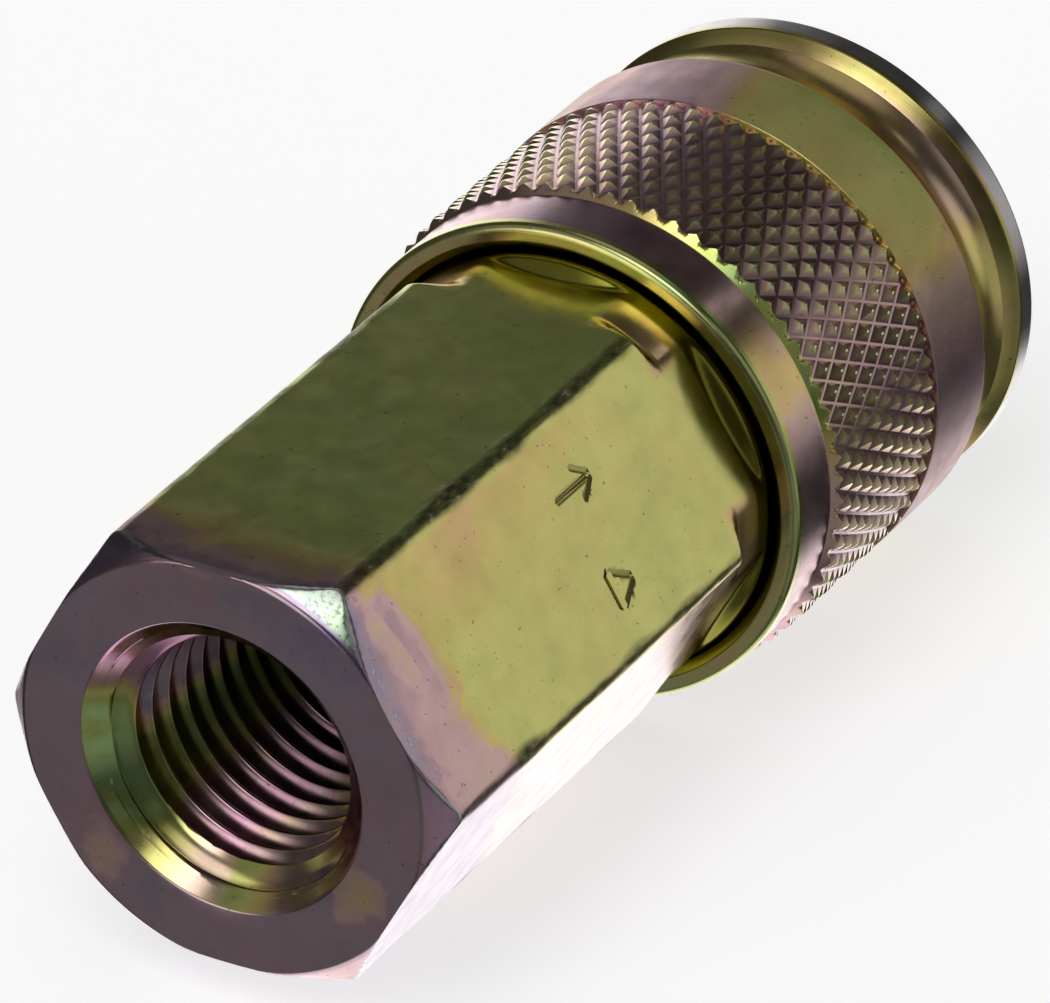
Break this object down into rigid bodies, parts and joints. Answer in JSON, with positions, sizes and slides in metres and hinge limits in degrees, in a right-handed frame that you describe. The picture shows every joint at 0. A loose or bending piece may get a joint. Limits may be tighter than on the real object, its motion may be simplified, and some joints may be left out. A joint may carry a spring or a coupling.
{
  "type": "quick disconnect coupler",
  "caption": "Air-line quick disconnect coupler: hexagonal body with an internal pipe thread, knurled spring-loaded release sleeve, ball lock and shut-off valve.",
  "frame": {"origin": "centre of the threaded rear face", "axes": "+X along the axis towards the mouth that takes the plug, +Z out of one hex flat"},
  "size_m": [0.0558, 0.026, 0.026],
  "materials": {
    "body_plating": "yellow iridescent zinc plate over machined steel",
    "sleeve_plating": "yellow iridescent zinc plate over knurled and turned steel",
    "barrel_plating": "zinc plate over turned steel",
    "washer_steel": "pressed steel",
    "spring_wire": "drawn spring wire",
    "clip_steel": "phosphated spring steel",
    "ball_steel": "polished ball steel",
    "valve_brass": "turned brass",
    "nitrile": "moulded nitrile rubber",
    "backup_plastic": "matt fluoropolymer"
  },
  "bodies": {
    "coupler_body": {"hex_body": "body_plating", "barrel": "barrel_plating", "body_gasket": "nitrile", "retaining_ring": "spring_wire", "plug_seal": "nitrile", "plug_seal_backup_ring": "backup_plastic", "sleeve_spring": "spring_wire", "valve_spring": "spring_wire", "valve_guide": "valve_brass", "guide_clip": "clip_steel"},
    "spring_washer": {"spring_washer": "washer_steel"},
    "sleeve": {"sleeve": "sleeve_plating"},
    "valve": {"valve_poppet": "valve_brass", "valve_seal": "nitrile", "valve_seal_retainer": "valve_brass"},
    "lock_ball_1": {"lock_ball_1": "ball_steel"},
    "lock_ball_2": {"lock_ball_2": "ball_steel"},
    "lock_ball_3": {"lock_ball_3": "ball_steel"},
    "lock_ball_4": {"lock_ball_4": "ball_steel"},
    "lock_ball_5": {"lock_ball_5": "ball_steel"},
    "lock_ball_6": {"lock_ball_6": "ball_steel"}
  },
  "joints": [
    {"name": "sleeve_slide", "type": "slide", "parent": "coupler_body", "child": "spring_washer", "axis": [-1, 0, 0], "range_m": [0, 0.003], "stiffness_N_per_m": 2500, "springref_m": -0.004, "deforming": ["sleeve_spring"]},
    {"name": "sleeve_spin", "type": "hinge", "parent": "spring_washer", "child": "sleeve", "pos_m": [0.044, 0, 0], "axis": [1, 0, 0], "continuous": true},
    {"name": "valve_slide", "type": "slide", "parent": "coupler_body", "child": "valve", "axis": [-1, 0, 0], "range_m": [0, 0.0035], "stiffness_N_per_m": 900, "springref_m": -0.004, "deforming": ["valve_spring"]},
    {"name": "ball_1_slide", "type": "slide", "parent": "coupler_body", "child": "lock_ball_1", "axis": [0, 0, 1], "range_m": [0, 0.001]},
    {"name": "ball_2_slide", "type": "slide", "parent": "coupler_body", "child": "lock_ball_2", "axis": [0, -0.866, 0.5], "range_m": [0, 0.001]},
    {"name": "ball_3_slide", "type": "slide", "parent": "coupler_body", "child": "lock_ball_3", "axis": [0, -0.866, -0.5], "range_m": [0, 0.001]},
    {"name": "ball_4_slide", "type": "slide", "parent": "coupler_body", "child": "lock_ball_4", "axis": [0, 0, -1], "range_m": [0, 0.001]},
    {"name": "ball_5_slide", "type": "slide", "parent": "coupler_body", "child": "lock_ball_5", "axis": [0, 0.866, -0.5], "range_m": [0, 0.001]},
    {"name": "ball_6_slide", "type": "slide", "parent": "coupler_body", "child": "lock_ball_6", "axis": [0, 0.866, 0.5], "range_m": [0, 0.001]}
  ],
  "couplings": [
    {"joint": "ball_1_slide", "follows": "sleeve_slide", "ratio": 0.33333},
    {"joint": "ball_2_slide", "follows": "sleeve_slide", "ratio": 0.33333},
    {"joint": "ball_3_slide", "follows": "sleeve_slide", "ratio": 0.33333},
    {"joint": "ball_4_slide", "follows": "sleeve_slide", "ratio": 0.33333},
    {"joint": "ball_5_slide", "follows": "sleeve_slide", "ratio": 0.33333},
    {"joint": "ball_6_slide", "follows": "sleeve_slide", "ratio": 0.33333}
  ]
}
